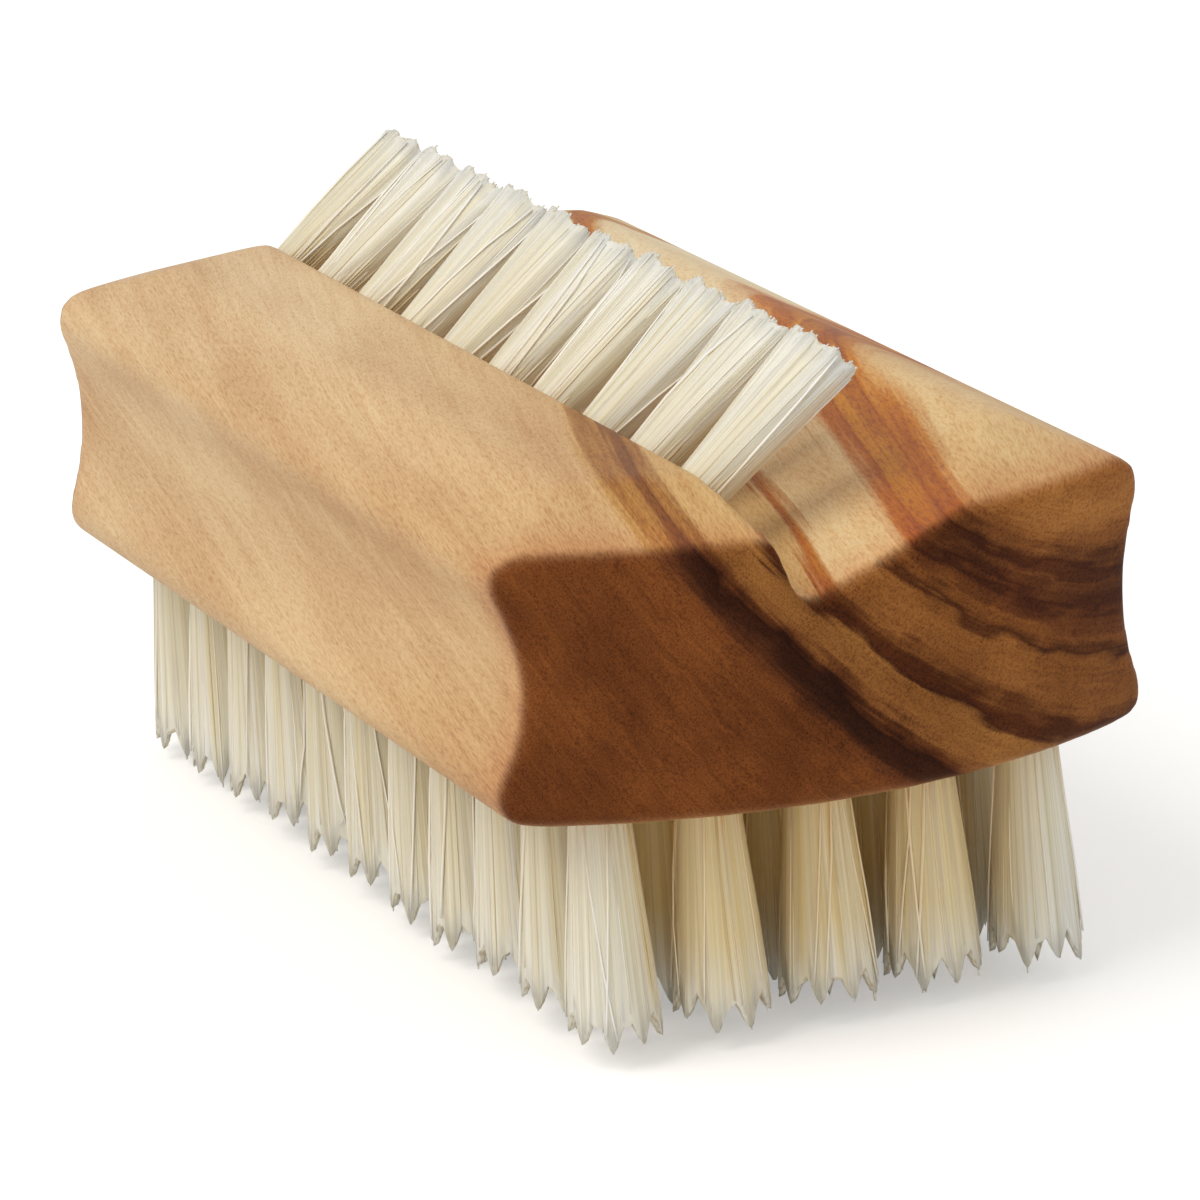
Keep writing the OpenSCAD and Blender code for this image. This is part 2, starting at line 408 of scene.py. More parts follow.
slope = BEVEL_DROP / BEVEL_RUN
corners = [
    (0, WOOD_Z - OVER),
    (END_R - EDGE_BREAK - OVER, WOOD_Z - OVER),
    (END_R, WOOD_Z + EDGE_BREAK),
    (END_R, TOP_Z - BEVEL_DROP),
    (END_R - BEVEL_RUN - OVER / slope, TOP_Z + OVER),
    (0, TOP_Z + OVER),
]
bm = bmesh.new()
verts = [bm.verts.new((r, 0, z)) for r, z in corners]
edges = [bm.edges.new(pair) for pair in zip(verts, verts[1:])]
bmesh.ops.spin(
    bm, geom=verts + edges, axis=(0, 0, 1), angle=math.tau, steps=DRUM_STEPS, use_merge=True
)
bmesh.ops.remove_doubles(bm, verts=bm.verts[:], dist=1e-6)
bmesh.ops.dissolve_degenerate(bm, edges=bm.edges[:], dist=1e-6)
bmesh.ops.recalc_face_normals(bm, faces=bm.faces[:])
carve(block, add_piece("end_drum", bm), "INTERSECT")
print("faces after turning:", len(block.data.polygons))

# %% Sand everything
VOXEL = 0.5 * MM
SANDING_PASSES = 12

grit = block.modifiers.new("even_faces", "REMESH")
grit.mode = "VOXEL"
grit.voxel_size = VOXEL
rub = block.modifiers.new("sanding", "SMOOTH")
rub.factor = 0.5
rub.iterations = SANDING_PASSES
apply_modifiers(block)
print("faces after sanding:", len(block.data.polygons))


# %% Places of the tufts
def top_place(x):
    """Frame of a top tuft: its mouth at the origin, its bristles along +Z."""
    up_wall = GROOVE_DEPTH / math.cos(GROOVE_TILT) - TOP_HOLE_DROP
    y = -GROOVE_Y - up_wall * math.sin(GROOVE_TILT)
    z = TOP_Z - GROOVE_DEPTH + up_wall * math.cos(GROOVE_TILT)
    return Matrix.Translation((x, y, z)) @ Matrix.Rotation(TOP_LEAN - math.pi / 2, 4, "X")


def field_place(x, y):
    """Frame of a lower tuft: its mouth at the origin, its bristles along +Z."""
    return Matrix.Translation((x, y, WOOD_Z)) @ Matrix.Rotation(math.pi, 4, "X")


print("mouths of the top row, mm:", [round(v / MM, 2) for v in top_place(0).translation.yz])

# %% Drill the holes
HOLE_SIDES = 28

drills = bmesh.new()
holes = [(top_place(x), TOP_HOLE_R, TOP_HOLE_DEPTH) for x in top_xs]
holes += [(field_place(x, y), FIELD_HOLE_R, FIELD_HOLE_DEPTH) for x in field_xs for y in field_ys]
for place, radius, depth in holes:
    bmesh.ops.create_cone(
        drills,
        cap_ends=True,
        segments=HOLE_SIDES,
        radius1=radius,
        radius2=radius,
        depth=depth + 3 * OVER,
        matrix=place @ Matrix.Translation((0, 0, (3 * OVER - depth) / 2)),
    )
carve(block, add_piece("drill_cutter", drills), "DIFFERENCE")
block.data.shade_smooth()
block.data.set_sharp_from_angle(angle=math.radians(40))
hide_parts("wood_block")
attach(block, "root")
print("holes:", len(holes), "faces:", len(block.data.polygons))

# %% [markdown]
# ## Bristle tufts
#
# A tuft holds some three hundred bristles, folded in half and packed tight in
# its hole. Past the mouth they fan out, and near the tips they gather in a few
# locks. The locks are cut to blunt points, so the trimmed edge looks toothed.
#
# Hair curves would be the usual tool for fur, but they don't keep real faces,
# and a pack of wet-looking bristle is seen as one silky body with single
# bristles on it. So two small templates are made by the cone tool: one
# bristle, and the packed body of a tuft. One rule says where a spot of the
# tuft is at each share of the way, and both templates are laid along it. One
# UV map holds a random tone and the way along the bristle, and the other the
# spot in the tuft, from which the material draws the fine lines.


# %% Templates for a bristle and for the packed body
def make_template(name, sides, end_r, cuts, rings, spread):
    """A cone from z 0 to 1, cut across, with rings of faces in its end cap."""
    bm = bmesh.new()
    bmesh.ops.create_cone(bm, cap_ends=True, segments=sides, radius1=1, radius2=end_r, depth=1)
    bmesh.ops.translate(bm, vec=(0, 0, 0.5), verts=bm.verts[:])
    for z in cuts:
        whole = bm.verts[:] + bm.edges[:] + bm.faces[:]
        bmesh.ops.bisect_plane(bm, geom=whole, plane_co=(0, 0, z), plane_no=(0, 0, 1))
    cap = [f for f in bm.faces if f.normal.z > 0.9]
    for _ in range(rings):
        bmesh.ops.inset_region(bm, faces=cap, thickness=end_r / (rings + 1))
    if rings:
        bmesh.ops.poke(bm, faces=cap)
    strand = bm.loops.layers.uv.new("strand")
    spot = bm.loops.layers.uv.new("spot")
    for face in bm.faces:
        for loop in face.loops:
            loop[strand].uv = (0, loop.vert.co.z)
            loop[spot].uv = loop.vert.co.xy * spread
    mesh = bpy.data.meshes.new(name)
    bm.to_mesh(mesh)
    bm.free()
    return mesh


bristle_mesh = make_template(
    "bristle", sides=4, end_r=0.6, cuts=(0.45, 0.72, 0.9), rings=0, spread=0.01
)
body_mesh = make_template(
    "packed_body", sides=60, end_r=1.0, cuts=(0.15, 0.4, 0.65, 0.85), rings=5, spread=1.0
)
print("faces:", len(bristle_mesh.polygons), len(body_mesh.polygons))

# %% Where the bristles of a tuft are
# A tuft starts this deep in its hole and this far from its wall. The reach of a
# lock is a share of the tuft's radius.
ROOT_SINK = 2.0 * MM
HOLE_SLACK = 0.16 * MM
LOCK_REACH = 0.34


def ring_of_locks(count, ring_r, turn):
    """Middles of a tuft's locks in the unit disc: one inside, the rest round it."""
    angles = [turn + math.tau * k / (count - 1) for k in range(count - 1)]
    ring = [Vector((ring_r * math.cos(a), ring_r * math.sin(a))) for a in angles]
    return [Vector((0, 0))] + ring


def make_rule(hole_r, length, tip, sweep, locks, trims, pull, notch):
    """A rule for one tuft. It turns a bristle's spot in the unit disc and a
    share of its way from root to tip into a point over the tuft's mouth."""

    def point(spot, share, short=0.0):
        k = min(range(len(locks)), key=lambda n: (locks[n] - spot).length)
        off = (spot - locks[k]).length
        end_z = length - trims[k] - notch * min(off / LOCK_REACH, 1.0) - short
        z = share * (end_z + ROOT_SINK) - ROOT_SINK
        fan = max(z, 0.0) / length
        root_r = hole_r - HOLE_SLACK
        gather = (locks[k] - spot) * pull * fan**3
        x = spot.x * root_r * (1 - fan) + ((spot.x + gather.x) * tip[0] + sweep[0]) * fan
        y = spot.y * root_r * (1 - fan) + ((spot.y + gather.y) * tip[1] + sweep[1]) * fan
        return Vector((x, y, z))

    return point


print("root hidden in the hole, mm:", ROOT_SINK / MM)


# %% Lay a template along a rule
def lay_template(bm, mesh, tone, shift, move):
    """Adds a copy of a template. Its points are moved by a rule, its tone is
    set, and its spots are shifted in their map."""
    first_vert, first_face = len(bm.verts), len(bm.faces)
    bm.from_mesh(mesh)
    bm.verts.ensure_lookup_table()
    bm.faces.ensure_lookup_table()
    strand = bm.loops.layers.uv["strand"]
    spot = bm.loops.layers.uv["spot"]
    for v in bm.verts[first_vert:]:
        v.co = move(v.co)
    for face in bm.faces[first_face:]:
        face.smooth = True
        for loop in face.loops:
            loop[strand].uv.x = tone
            loop[spot].uv += shift


print("UV maps of a template:", bristle_mesh.uv_layers.keys())

# %% Measures of single bristles
# Two or three real bristles are drawn as one thick one, half sunk in the body
BRISTLE_R = 0.12 * MM
STRAY_R = 0.16 * MM
THICKNESS = (0.7, 1.2)
STRAY_THICKNESS = (0.6, 1.0)
BOW = 0.12 * MM

# Shares of the tuft's radius
SKIN_RADIUS = (0.95, 1.005)
INNER_RADIUS = 0.95
STRAY_RADIUS = 1.05
ROOT_TUCK = 0.12

# How much shorter a bristle is than its tuft, in mm, and where an inner one starts
SKIN_SHORT = (0.0, 0.7)
INNER_SHORT = (-0.25, 0.1)
INNER_START = 0.8

SPACING_JITTER = 0.45
STRAY_TWIST = (0.3, 0.9)
BRISTLE_TONE = (0.05, 0.85)
# Single strays get the whitest tone, a painted glint
STRAY_GLINT_TONE = 0.0
BODY_TONE = 1.0
BODY_TONE_FROM = 0.9
MAP_REACH = 50
GOLDEN_ANGLE = math.pi * (3 - math.sqrt(5))
print("golden angle:", round(math.degrees(GOLDEN_ANGLE), 1))


# %% Lay the bristles of a tuft
def lay_tuft(bm, place, rng, skin, inner, strays, point):
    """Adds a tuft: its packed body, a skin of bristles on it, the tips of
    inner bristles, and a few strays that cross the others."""
    tuft_shift = Vector((rng.uniform(0, MAP_REACH), rng.uniform(0, MAP_REACH)))
    lay_template(bm, body_mesh, BODY_TONE, tuft_shift, lambda v: place @ point(v.xy, v.z))
    for i in range(skin + inner + strays):
        start, twist, short = 0.0, 0.0, rng.uniform(*SKIN_SHORT) * MM
        tone = rng.uniform(*BRISTLE_TONE)
        thick = BRISTLE_R * rng.uniform(*THICKNESS)
        if i < skin:
            angle = math.tau * (i + rng.uniform(-SPACING_JITTER, SPACING_JITTER)) / skin
            radius = rng.uniform(*SKIN_RADIUS)
        elif i < skin + inner:
            angle = i * GOLDEN_ANGLE
            radius = INNER_RADIUS * math.sqrt((i - skin + 0.5) / inner)
            start = INNER_START
            short = rng.uniform(*INNER_SHORT) * MM
        else:
            angle = rng.uniform(0, math.tau)
            radius = STRAY_RADIUS
            twist = rng.choice((-1, 1)) * rng.uniform(*STRAY_TWIST)
            tone = STRAY_GLINT_TONE
            thick = STRAY_R * rng.uniform(*STRAY_THICKNESS)
        bow_angle = rng.uniform(0, math.tau)
        bow = Vector((math.cos(bow_angle), math.sin(bow_angle), 0)) * rng.uniform(0, BOW)
        spin = Matrix.Rotation(rng.uniform(0, math.tau), 3, "Z")

        def move(v):
            share = start + (1 - start) * v.z
            a = angle + twist * share
            reach = radius - ROOT_TUCK * (1 - share) ** 2
            spot = Vector((math.cos(a), math.sin(a))) * reach
            side = spin @ Vector((v.x, v.y, 0)) * thick
            return place @ (point(spot, share, short) + side + bow * math.sin(math.pi * share))

        home = Vector((math.cos(angle), math.sin(angle))) * radius
        lay_template(bm, bristle_mesh, tone, tuft_shift + home, move)


print("faces of a top tuft:", len(body_mesh.polygons), "and", len(bristle_mesh.polygons), "each")

# %% Tufts of the top row
# The skin and inner bristles and the strays of a tuft are counted here. Its
# locks are cut shorter by up to a trim, and lower between them by the notch.
TOP_SKIN = 46
TOP_INNER = 70
STRAYS = 5
TOP_LOCKS = 9
TOP_LOCK_RING = 0.9
TOP_TRIM = 0.35
TOP_PULL = 0.25
TOP_NOTCH = 0.5 * MM
TOP_SEED = 100

# The tufts nearest the far end have been pushed over towards the near end
PUSHED = 3
PUSH = 0.6 * MM

tufts = []


def finish_tufts(name, bm, node):
    """Makes the piece that stands for a CAD tuft node."""
    obj = add_piece(name, bm)
    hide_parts(node)
    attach(obj, "root")
    tufts.append(obj)


for i, x in enumerate(top_xs):
    rng = random.Random(TOP_SEED + i)
    rule = make_rule(
        hole_r=TOP_HOLE_R,
        length=TOP_LENGTH,
        tip=TOP_TIP,
        sweep=(PUSH * max(PUSHED - i, 0), 0),
        locks=ring_of_locks(TOP_LOCKS, TOP_LOCK_RING, RING_STEP * i),
        trims=[rng.uniform(0, TOP_TRIM) * MM for _ in range(TOP_LOCKS)],
        pull=TOP_PULL,
        notch=TOP_NOTCH,
    )
    bm = bmesh.new()
    lay_tuft(bm, top_place(x), rng, TOP_SKIN, TOP_INNER, STRAYS, rule)
    finish_tufts(f"bristles_top_{i + 1:02d}", bm, f"top_tuft_{i + 1:02d}")
print("top tufts:", len(tufts))

# %% Tufts of the lower field
FIELD_SKIN = 50
FIELD_INNER = 24
FIELD_LOCKS = 10
FIELD_LOCK_RING = 0.93
FIELD_TRIM = 1.0
FIELD_PULL = 0.4
FIELD_NOTCH = 2.6 * MM
FIELD_SEED = 1000
NEAR_TRIM = 0.7 * MM


def lay_field_tuft(bm, i, j):
    """The lower tuft of column i and row j. The near tufts are cut shorter."""
    rng = random.Random(FIELD_SEED + 10 * i + j)
    trim = NEAR_TRIM * i / (FIELD_COLUMNS - 1)
    rule = make_rule(
        hole_r=FIELD_HOLE_R,
        length=WOOD_Z,
        tip=(FIELD_TIP_X, FIELD_TIP_Y if j in (0, FIELD_ROWS - 1) else INNER_TIP_Y),
        sweep=(SWEEP_X, -SWEEP_Y),
        locks=ring_of_locks(FIELD_LOCKS, FIELD_LOCK_RING, -RING_STEP * (i + j)),
        trims=[trim + rng.uniform(0, FIELD_TRIM) * MM for _ in range(FIELD_LOCKS)],
        pull=FIELD_PULL,
        notch=FIELD_NOTCH,
    )
    place = field_place(field_xs[i], field_ys[j])
    lay_tuft(bm, place, rng, FIELD_SKIN, FIELD_INNER, STRAYS, rule)


groups = {"left_tuft": [0], "right_tuft": [FIELD_ROWS - 1], "inner_tufts": [1, 2, 3]}
for group, rows in groups.items():
    for i in range(FIELD_COLUMNS):
        bm = bmesh.new()
        for j in rows:
            lay_field_tuft(bm, i, j)
        finish_tufts(f"bristles_{group}_{i + 1:02d}", bm, f"{group}_{i + 1:02d}")
print("tuft pieces:", len(tufts), "faces:", sum(len(o.data.polygons) for o in tufts))

# %% [markdown]
# ## Bristle finish
#
# Bleached natural bristle is keratin, as nails are: cream, a little see-through
# and glossy, so light that has passed through several bristles turns golden.
# Blender's hair shader bends light through each hair, but it wants hair curves
# and can't be baked. Subsurface scattering in the packed body gives nearly the
# same glow. The fine lines of that body are noise over the spot in the tuft, so
# each line runs from root to tip. Bristles are lighter than the body, and
# single strays are painted white as glints.

# %% Bristle tones
# Real bristles are 0.15 mm across; two or three are drawn as one line or end
LINES_ACROSS = 20.0
ENDS_ACROSS = 12.0
LOCKS_ACROSS = 3.0

# Bleached, washed and trimmed bristle: cream and glossy, with strays painted white as glints
bristle, tree, output = new_material("bleached_natural_bristle")
strand = add_node(tree, "UVMap", {"uv_map": "strand"})
strand = add_node(tree, "SeparateXYZ", Vector=strand)
spots = add_node(tree, "UVMap", {"uv_map": "spot"})
lines = add_node(
    tree, "TexNoise", {"noise_dimensions": "2D"}, Vector=spots, Scale=LINES_ACROSS, Detail=2.0
)
lines = add_node(tree, "MapRange", Value=lines, From_Min=0.22, From_Max=0.78)
broad = add_node(
    tree, "TexNoise", {"noise_dimensions": "2D"}, Vector=spots, Scale=LOCKS_ACROSS, Detail=1.0
)
broad = add_node(tree, "MapRange", Value=broad, From_Min=0.3, From_Max=0.7)
body_lines = add_node(tree, "Mix", _0=0.4, _2=lines, _3=broad)
is_body = add_node(
    tree,
    "Math",
    {"operation": "GREATER_THAN"},
    _0=strand.outputs["X"],
    _1=BODY_TONE_FROM,
)
place = add_node(tree, "Mix", _0=is_body, _2=strand.outputs["X"], _3=body_lines)
tone = add_node(
    tree,
    "ValToRGB",
    Fac=place,
    stops=[(0.0, "#FFFEF8"), (0.3, "#F4EFDD"), (0.6, "#EBE3C9"), (1.0, "#DACB9E")],
)
print("across a tuft's radius:", LINES_ACROSS, "lines,", ENDS_ACROSS, "bristle ends")

# %% From the shaded root to the lit tip
# Painted shade: the colour gets a little warmer and darker towards the root, deep in the tuft.
# Painted light: it turns paler and whiter towards the tip, as if light shone through it.
depth = add_node(
    tree,
    "ValToRGB",
    Fac=strand.outputs["Y"],
    stops=[(0.1, "#FFF8E8"), (0.45, "#FFFBF2"), (0.8, "#FFFFFF")],
)
root_shaded_tone = add_node(
    tree, "Mix", {"data_type": "RGBA", "blend_type": "MULTIPLY"}, _0=1.0, _6=tone, _7=depth
)
tip_light_share = add_node(
    tree, "MapRange", Value=strand.outputs["Y"], From_Min=0.86, From_Max=1.0, To_Max=0.5
)
shaded_lit_tone = add_node(
    tree, "Mix", {"data_type": "RGBA"}, _0=tip_light_share, _6=root_shaded_tone, _7=linear("#F8F7F0")
)
print("stops from root to tip:", len(depth.color_ramp.elements))

# %% Trimmed ends
# The trimmed end of the packed body shows shaded gaps between the bristle ends
ends = add_node(
    tree, "TexVoronoi", {"voronoi_dimensions": "2D"}, Vector=spots, Scale=ENDS_ACROSS
)
gaps = add_node(tree, "MapRange", Value=ends, From_Min=0.35, From_Max=0.75)
trimmed = add_node(
    tree, "MapRange", Value=strand.outputs["Y"], From_Min=0.985, From_Max=0.999, To_Max=0.7
)
trimmed = add_node(tree, "Math", {"operation": "MULTIPLY"}, _0=trimmed, _1=is_body)
trimmed = add_node(tree, "Math", {"operation": "MULTIPLY"}, _0=trimmed, _1=gaps)
shaded_lit_tone = add_node(
    tree,
    "Mix",
    {"data_type": "RGBA", "blend_type": "MULTIPLY"},
    _0=trimmed,
    _6=shaded_lit_tone,
    _7=linear("#C4AF86"),
)
print("bristle nodes so far:", len(tree.nodes))

# %% Painted golden shade deep in the lower field
# Painted shade: light has passed through the outer tufts before it gets to the
# inner ones, so they are painted golden and darker. The trimmed ends are pale,
# and the outer tufts of the two ends are partly golden.
GOLD_DEPTH = 4.0 * MM
GOLD_LOW, GOLD_HIGH = 1.5 * MM, 8.0 * MM
END_GOLD, SIDE_GOLD = 0.7, 0.1

coords = add_node(tree, "TexCoord")
position = add_node(tree, "SeparateXYZ", Vector=coords.outputs["Object"])
deep = add_node(
    tree, "MapRange", Value=position.outputs["Z"], From_Min=WOOD_Z + MM, From_Max=WOOD_Z
)
past_tips = add_node(
    tree, "MapRange", Value=position.outputs["Z"], From_Min=GOLD_LOW, From_Max=GOLD_HIGH
)
deep = add_node(tree, "Math", {"operation": "MULTIPLY"}, _0=deep, _1=past_tips)
for axis, outer_row, least in (("X", field_xs[-1], END_GOLD), ("Y", field_ys[-1], SIDE_GOLD)):
    away = add_node(tree, "Math", {"operation": "ABSOLUTE"}, _0=position.outputs[axis])
    behind = add_node(
        tree,
        "MapRange",
        Value=away,
        From_Min=outer_row,
        From_Max=outer_row - GOLD_DEPTH,
        To_Min=least,
    )
    deep = add_node(tree, "Math", {"operation": "MULTIPLY"}, _0=deep, _1=behind)
golden = add_node(
    tree,
    "Mix",
    {"data_type": "RGBA", "blend_type": "MULTIPLY"},
    _0=deep,
    _6=shaded_lit_tone,
    _7=linear("#FFE6B0"),
)
print("golden from", GOLD_DEPTH / MM, "mm behind the outer rows")

# %% Bristle surface
# Only the packed body scatters light, because single bristles would lose it
BODY_GLOW = 0.3
GLOW_REACH = 0.6 * MM
LINE_RELIEF = 0.05 * MM

relief = add_node(tree, "Bump", Height=lines, Strength=0.3, Distance=LINE_RELIEF)
glow = add_node(tree, "MapRange", Value=is_body, To_Max=BODY_GLOW)
keratin = add_node(
    tree,
    "BsdfPrincipled",
    Base_Color=golden,
    Roughness=0.34,
    IOR=1.55,
    Normal=relief,
    Subsurface_Weight=glow,
    Subsurface_Radius=(1.0, 0.85, 0.6),
    Subsurface_Scale=GLOW_REACH,
)
tree.links.new(keratin.outputs[0], output.inputs["Surface"])
for obj in tufts:
    obj.data.materials.append(bristle)
print("bristle pieces:", len(tufts))

# %% [markdown]
# ## Olive wood finish
#
# Sanded and oiled olive wood: honey tan with fine grain, and dark heartwood
# veins. The tree's yearly layers run through the block as tilted sheets, so a
# vein is a line on the top and a slanted band on the end. A picture of wood
# that is wrapped round the block would break at each edge. So one number, the
# layer, is worked out from the object's own coordinates, and both the veins
# and the grain read it. Then they meet at every edge. The end grain drinks more
# oil, so it is darker and redder.

# %% Layers of the wood
# How fast the layer number grows along X, Y, Z and Y squared, in mm, and how
# fast along X on the gentle side of the groove. It changes over the groove.
LAYER_X, LAYER_Y, LAYER_Z, LAYER_YY = 0.33, 0.80, 0.905, -0.013
RIDGE_LAYER_X = 0.22
CHANGE_Y = 4.0
LAYER_LOW, LAYER_HIGH = -10.0, 45.0

# Sanded and oiled olive wood: satin, honey tan, with dark veins and short fibres
wood, tree, output = new_material("oiled_olive_wood")
coords = add_node(tree, "TexCoord")
place = add_node(
    tree,
    "Mapping",
    Vector=coords.outputs["Object"],
    Location=(0, 0, -WOOD_Z / MM),
    Scale=(1 / MM, 1 / MM, 1 / MM),
)
x = add_node(tree, "SeparateXYZ", Vector=place)
x, y = x.outputs["X"], x.outputs["Y"]
layer = add_node(
    tree, "VectorMath", {"operation": "DOT_PRODUCT"}, _0=place, _1=(LAYER_X, LAYER_Y, LAYER_Z)
)
fan = add_node(tree, "Math", {"operation": "MULTIPLY"}, _0=y, _1=y)
layer = add_node(
    tree, "Math", {"operation": "MULTIPLY_ADD"}, _0=fan, _1=LAYER_YY, _2=layer.outputs["Value"]
)
layer = add_node(tree, "Math", {"operation": "SUBTRACT"}, _0=layer, _1=LAYER_X * END_R / MM)
less = add_node(
    tree,
    "MapRange",
    Value=y,
    From_Min=-CHANGE_Y,
    From_Max=CHANGE_Y,
    To_Max=LAYER_X - RIDGE_LAYER_X,
)
inward = add_node(tree, "Math", {"operation": "SUBTRACT"}, _0=END_R / MM, _1=x)
layer = add_node(tree, "Math", {"operation": "MULTIPLY_ADD"}, _0=less, _1=inward, _2=layer)
across = add_node(tree, "VectorMath", {"operation": "DOT_PRODUCT"}, _0=place, _1=(0, 1, -1))
grain = add_node(tree, "CombineXYZ", X=layer, Y=x, Z=across.outputs["Value"])
print("layers from", LAYER_LOW, "to", LAYER_HIGH, "mm")

# %% Bend the layers
# Slow waves, ripples and fine striae: their sizes across the layers, along the
# block and across it, and how far they push a layer, all in mm
BENDS = (((15, 45, 22), 2.0), ((3, 22, 5), 2.8), ((0.6, 40, 10), 2.4))

bent = layer
for size, reach in BENDS:
    wave = add_node(tree, "Mapping", Vector=grain, Scale=[1 / mm for mm in size])
    wave = add_node(tree, "TexNoise", Vector=wave, Scale=1.0, Detail=2.0)
    bent = add_node(tree, "Math", {"operation": "MULTIPLY_ADD"}, _0=wave, _1=reach, _2=bent)
    bent = add_node(tree, "Math", {"operation": "SUBTRACT"}, _0=bent, _1=reach / 2)
share = add_node(tree, "MapRange", Value=bent, From_Min=LAYER_LOW, From_Max=LAYER_HIGH)
bent_grain = add_node(tree, "CombineXYZ", X=bent, Y=x, Z=across.outputs["Value"])
print("bent by waves, ripples and striae")


# %% Colours of the layers along the grain
def layer_stops(*stops):
    """Ramp stops at layers given in millimetres."""
    return [((mm - LAYER_LOW) / (LAYER_HIGH - LAYER_LOW), colour) for mm, colour in stops]


long_colour = add_node(
    tree,
    "ValToRGB",
    Fac=share,
    stops=layer_stops(
        (2.0, "#D6B282"),
        (2.7, "#C69A5A"),
        (3.3, "#A26C2C"),
        (3.9, "#BA8844"),
        (4.5, "#925A1E"),
        (5.3, "#864E16"),
        (5.9, "#B6823E"),
        (6.4, "#A6722E"),
        (7.1, "#DAB880"),
        (10.4, "#DAB880"),
        (10.9, "#A85A14"),
        (11.5, "#C48434"),
        (12.4, "#EBD4A8"),
        (16.8, "#E8CC9C"),
        (18.2, "#C07424"),
        (19.0, "#AE600E"),
        (19.8, "#C88422"),
        (20.6, "#9C500C"),
        (21.4, "#C0781E"),
        (22.8, "#DCBA84"),
        (34.0, "#DEC194"),
    ),
)
print("stops along the grain:", len(long_colour.color_ramp.elements))

# %% Colours of the layers on the end grain
end_colour = add_node(
    tree,
    "ValToRGB",
    Fac=share,
    stops=layer_stops(
        (1.6, "#74401C"),
        (2.6, "#5E3218"),
        (3.5, "#40200F"),
        (5.1, "#301407"),
        (6.0, "#5E3216"),
        (6.9, "#8E5A2C"),
        (9.2, "#94602E"),
        (9.9, "#4A240F"),
        (10.9, "#54290F"),
        (12.0, "#8E582A"),
        (14.6, "#965E2C"),
        (15.4, "#502810"),
        (16.3, "#865024"),
        (17.4, "#6A3A1A"),
        (18.4, "#451F0D"),
        (19.4, "#66391A"),
        (20.4, "#451F0D"),
        (22.0, "#8A5428"),
        (23.6, "#A46A34"),
        (40.0, "#A86C34"),
    ),
)
print("stops on the end grain:", len(end_colour.color_ramp.elements))

# %% Where the end grain shows
# At the near end the dark end grain colour creeps round the edge as painted shade,
# where the shade of the end goes up the bevel; round the far end it hardly creeps
NEAR_SHADE_FADE, FAR_FADE = 1.7, 0.7

radius = add_node(
    tree,
    "VectorMath",
    {"operation": "MULTIPLY"},
    _0=coords.outputs["Object"],
    _1=(1 / MM, 1 / MM, 0),
)
radius = add_node(tree, "VectorMath", {"operation": "LENGTH"}, _0=radius)
fade_from = add_node(
    tree,
    "MapRange",
    Value=x,
    From_Min=-END_R / MM,
    From_Max=END_R / MM,
    To_Min=END_R / MM - FAR_FADE,
    To_Max=END_R / MM - NEAR_SHADE_FADE,
)
end_share = add_node(
    tree,
    "MapRange",
    {"interpolation_type": "SMOOTHSTEP"},
    Value=radius,
    From_Min=fade_from,
    From_Max=END_R / MM - 0.1,
)
print("end grain fades in over", NEAR_SHADE_FADE, "mm at the near end,", FAR_FADE, "at the far end")

# %% Warm rim and honey shade
# The rim of the top gets warmer and darker, less at the far end than at the near
# end. From HONEY_FROM to the near end the wood gets more honey-coloured.
RIM_REACH = 0.6 * BEVEL_RUN
RIM_STRENGTH = 0.4
FAR_RIM = 0.3
HONEY_FROM = -10.0

rim_share = add_node(
    tree,
    "MapRange",
    {"interpolation_type": "SMOOTHSTEP"},
    Value=radius,
    From_Min=(END_R - RIM_REACH) / MM,
    From_Max=END_R / MM,
    To_Max=RIM_STRENGTH,
)
nearness = add_node(
    tree, "MapRange", Value=x, From_Min=-END_R / MM, From_Max=END_R / MM, To_Min=FAR_RIM
)
rim_share = add_node(tree, "Math", {"operation": "MULTIPLY"}, _0=rim_share, _1=nearness)
honey_share = add_node(tree, "MapRange", Value=x, From_Min=HONEY_FROM, From_Max=END_R / MM)
honey = add_node(
    tree,
    "Mix",
    {"data_type": "RGBA", "blend_type": "MULTIPLY"},
    _0=honey_share,
    _6=long_colour,
    _7=linear("#F8ECDA"),
)
warm = add_node(
    tree,
    "Mix",
    {"data_type": "RGBA", "blend_type": "MULTIPLY"},
    _0=rim_share,
    _6=honey,
    _7=linear("#E0984F"),
)
colour = add_node(tree, "Mix", {"data_type": "RGBA"}, _0=end_share, _6=warm, _7=end_colour)
print("warm rim of", round(RIM_REACH / MM, 1), "mm")

# %% Clouds, lines and fibres
# Sizes in mm across the layers, along the block and across it. Real fibres are
# 0.02 mm across and can't show; these are the bundles that do.
CLOUD_SIZE = (10, 30, 10)
LINE_SIZE = (0.55, 25, 9)
FIBRE_SIZE = (0.18, 1.0, 0.2)

clouds = add_node(tree, "Mapping", Vector=grain, Scale=[1 / mm for mm in CLOUD_SIZE])
clouds = add_node(tree, "TexNoise", Vector=clouds, Scale=1.0, Detail=2.0)
lines = add_node(tree, "Mapping", Vector=bent_grain, Scale=[1 / mm for mm in LINE_SIZE])
lines = add_node(tree, "TexNoise", Vector=lines, Scale=1.0, Detail=3.0, Roughness=0.6)
fibres = add_node(tree, "Mapping", Vector=grain, Scale=[1 / mm for mm in FIBRE_SIZE])
fibres = add_node(tree, "TexNoise", Vector=fibres, Scale=1.0, Detail=2.0, Roughness=0.6)
print("fibres in mm:", FIBRE_SIZE)

# %% Lay the grain and the pores over the colours
CLOUD_STRENGTH, LINE_STRENGTH, FIBRE_STRENGTH = 0.3, 0.22, 0.6

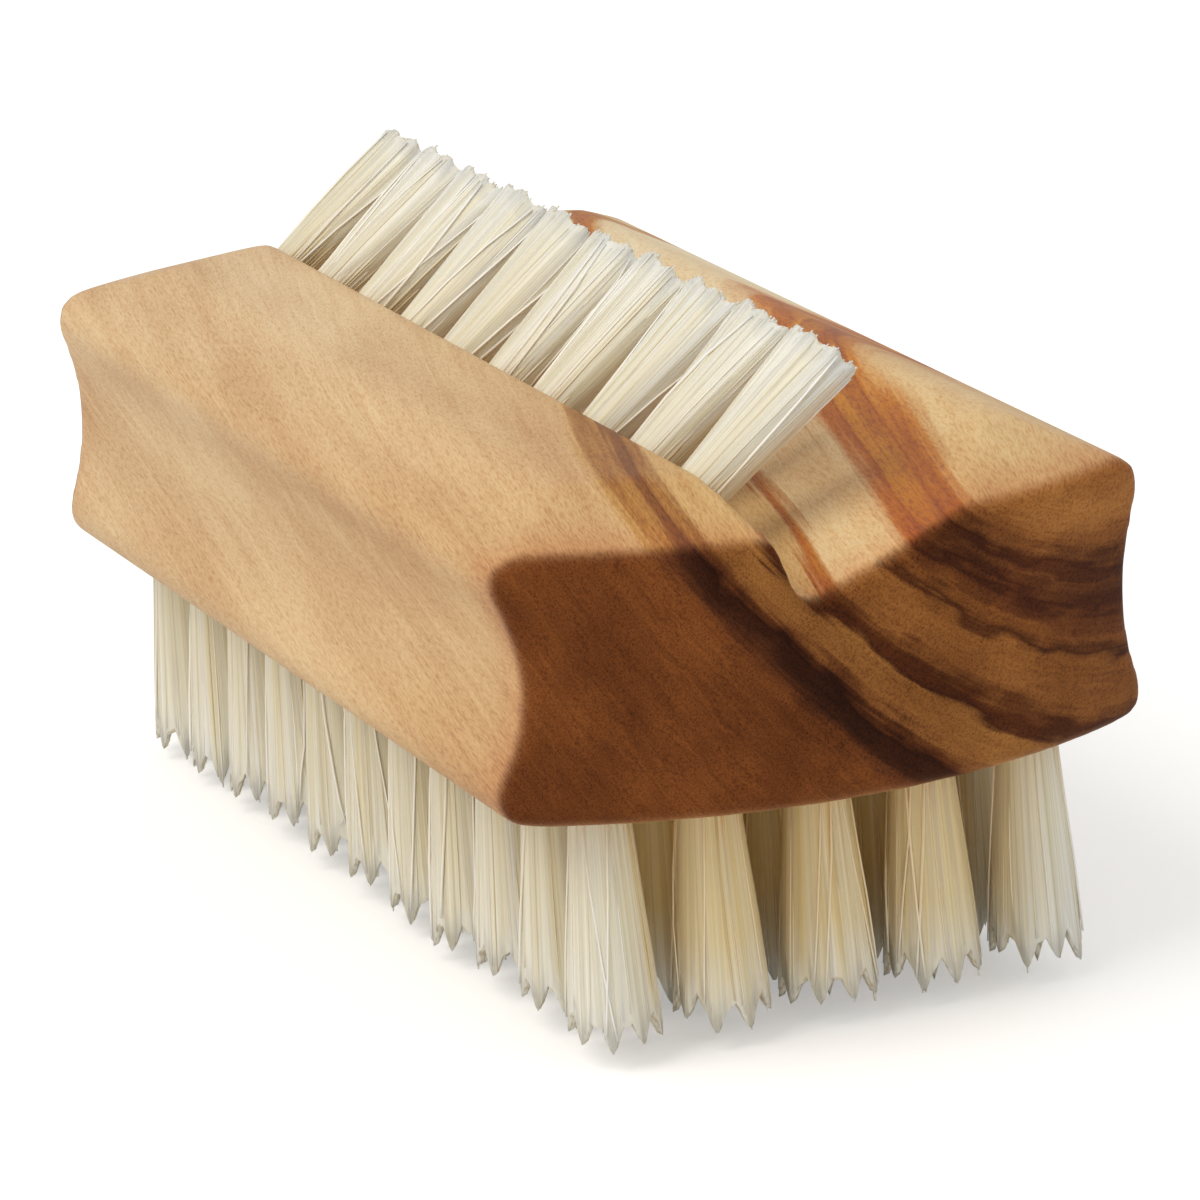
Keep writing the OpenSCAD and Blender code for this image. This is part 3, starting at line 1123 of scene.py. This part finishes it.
for pattern, low, high, strength in (
    (clouds, 0.3, 0.7, CLOUD_STRENGTH),
    (lines, 0.3, 0.7, LINE_STRENGTH),
    (fibres, 0.25, 0.75, FIBRE_STRENGTH),
):
    grey = add_node(tree, "MapRange", Value=pattern, From_Min=low, From_Max=high)
    colour = add_node(
        tree,
        "Mix",
        {"data_type": "RGBA", "blend_type": "SOFT_LIGHT"},
        _0=strength,
        _6=colour,
        _7=grey,
    )
pores = add_node(tree, "MapRange", Value=fibres, From_Min=0.6, From_Max=0.72, To_Max=0.45)
colour = add_node(
    tree,
    "Mix",
    {"data_type": "RGBA", "blend_type": "MULTIPLY"},
    _0=pores,
    _6=colour,
    _7=linear("#A87444"),
)
print("strengths:", CLOUD_STRENGTH, LINE_STRENGTH, FIBRE_STRENGTH)

# %% Oiled surface
# The open end grain has hardly any gloss
FIBRE_RELIEF = 0.06 * MM
LONG_GLOSS, END_GLOSS = 0.3, 0.06

bump = add_node(tree, "Bump", Height=fibres, Strength=0.8, Distance=FIBRE_RELIEF)
sheen = add_node(tree, "MapRange", Value=fibres, To_Min=0.4, To_Max=0.55)
gloss = add_node(tree, "MapRange", Value=end_share, To_Min=LONG_GLOSS, To_Max=END_GLOSS)
oiled = add_node(
    tree,
    "BsdfPrincipled",
    Base_Color=colour,
    Roughness=sheen,
    Specular_IOR_Level=gloss,
    Normal=bump,
    IOR=1.5,
)
tree.links.new(oiled.outputs[0], output.inputs["Surface"])
block.data.materials.clear()
block.data.materials.append(wood)
print("wood nodes:", len(tree.nodes))

# %% [markdown]
# ## Anchor wire
#
# A short piece of flat steel wire holds each folded tuft in its hole. It is
# hidden once the tuft is in, so the plain solid stays and only gets its
# finish: drawn steel with fine lines along the wire.

# %% Anchor wire material
# The die marks are far finer on real wire; they are drawn coarse enough to show
MARK_LENGTH = 0.5 * MM
MARK_WIDTH = 0.05 * MM

# Drawn flat steel wire: bright, with fine streaks that blur what it mirrors
wire, tree, output = new_material("drawn_steel_wire")
coords = add_node(tree, "TexCoord")
marks = add_node(
    tree,
    "Mapping",
    Vector=coords.outputs["Object"],
    Scale=(1 / MARK_LENGTH, 1 / MARK_LENGTH, 1 / MARK_WIDTH),
)
marks = add_node(tree, "TexNoise", Vector=marks, Scale=1.0, Detail=2.0)
dull = add_node(tree, "MapRange", Value=marks, To_Min=0.25, To_Max=0.5)
drawn = add_node(
    tree, "BsdfPrincipled", Base_Color=linear("#B9B8B2"), Metallic=1.0, Roughness=dull
)
tree.links.new(drawn.outputs[0], output.inputs["Surface"])
for name in ("top_anchors", "lower_anchors"):
    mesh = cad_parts[name].data
    mesh.materials.clear()
    mesh.materials.append(wire)
print("anchors keep their solids")

# %% [markdown]
# ## Finish
#
# The box of the solids and the box of the dressed brush are gathered side by side.
# It may not reach outside them.

# %% Gather the sizes and finish
low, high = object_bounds()
boxes = {"cad": [list(cad_low), list(cad_high)], "visual": [list(low), list(high)]}
print("visual box in mm:", [round(v / MM, 2) for v in (*low, *high)])
